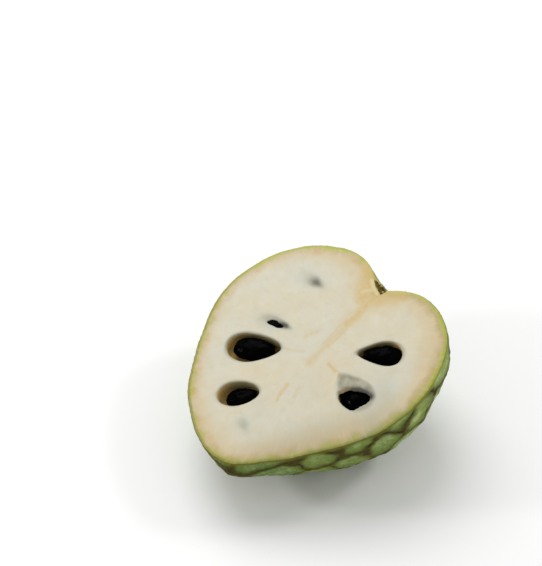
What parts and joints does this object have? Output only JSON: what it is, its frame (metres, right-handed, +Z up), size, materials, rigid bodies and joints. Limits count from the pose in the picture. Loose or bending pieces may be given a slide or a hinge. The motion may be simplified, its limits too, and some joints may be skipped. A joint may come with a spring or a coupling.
{
  "type": "custard apple half",
  "caption": "Custard apple (cherimoya) cut in half lengthways: scaly green skin, creamy flesh, dark glossy seeds in pockets and a stem stub; lies on its rounded back.",
  "frame": {"origin": "centre of the small flat spot that the half rests on, under its rounded back", "axes": "+Z up, away from the surface it lies on. The cut face looks up and slightly towards -X and -Y: the core runs 45 degrees between +X and +Y, with the stem end 16 degrees higher than the tip. -Y is the side towards the viewer."},
  "size_m": [0.1051, 0.0965, 0.0576],
  "materials": {
    "fruit": "moist cream flesh on the cut face, satin green scaly skin outside",
    "seed": "smooth glossy black",
    "stem": "dry rough brown bark"
  },
  "bodies": {
    "root": {"fruit_half": "fruit", "seed_left_large": "seed", "seed_left_sliver": "seed", "seed_left_lower": "seed", "seed_right_upper": "seed", "seed_right_lower": "seed", "stem_stub": "stem"}
  },
  "joints": []
}
